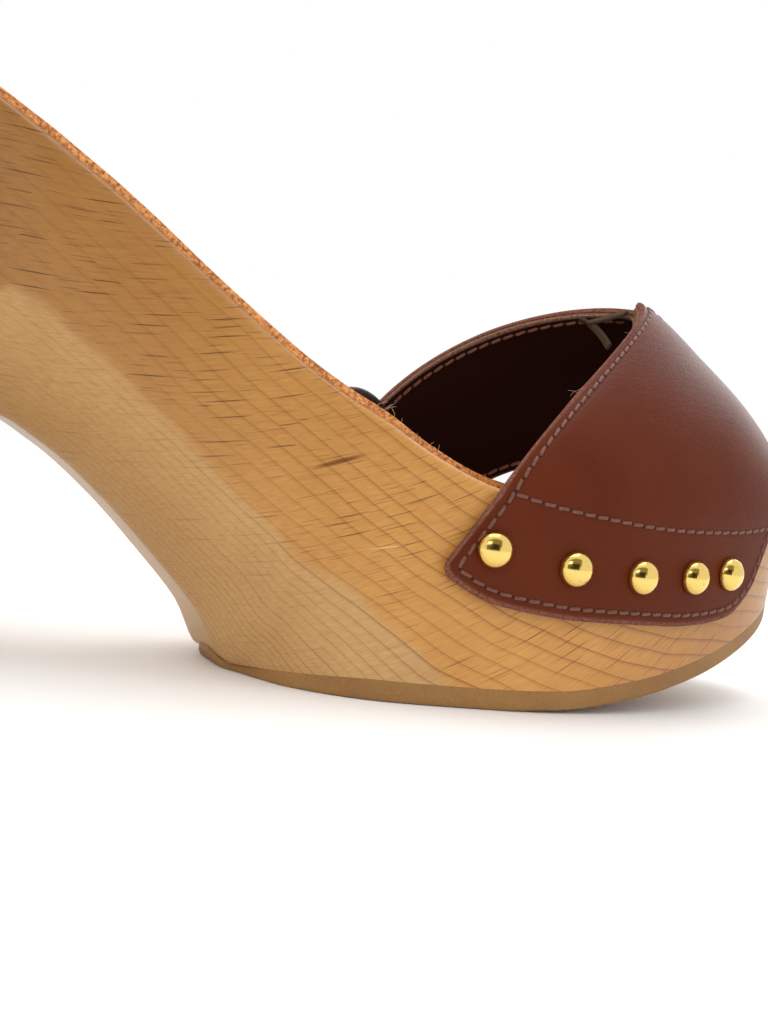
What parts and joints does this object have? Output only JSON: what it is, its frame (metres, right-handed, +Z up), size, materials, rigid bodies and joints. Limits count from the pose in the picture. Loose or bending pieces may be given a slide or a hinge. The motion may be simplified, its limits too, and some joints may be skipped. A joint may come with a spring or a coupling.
{
  "type": "wooden sole sandal",
  "caption": "High-heeled mule sandal with a carved platform sole of beech and a two-panel leather upper nailed along both sides of the forefoot, open at the heel and toe.",
  "frame": {"origin": "centre of the bounding box in plan, on the plane that the sole stands on", "axes": "+X to the toe, +Y to the medial side (the wearer's left), +Z up"},
  "size_m": [0.234, 0.0947, 0.1154],
  "materials": {
    "beech": "varnished, satin gloss",
    "rubber": "matt",
    "insole_leather": "raw-edged, matt",
    "upper_leather": "smooth, waxed",
    "brass": "polished, lightly tarnished"
  },
  "bodies": {
    "root": {"wood_sole": "beech", "rubber_outsole": "rubber", "heel_lift": "rubber", "insole": "insole_leather", "upper": "upper_leather", "nail_outer_1": "brass", "nail_outer_2": "brass", "nail_outer_3": "brass", "nail_outer_4": "brass", "nail_outer_5": "brass", "nail_inner_1": "brass", "nail_inner_2": "brass", "nail_inner_3": "brass"}
  },
  "joints": []
}
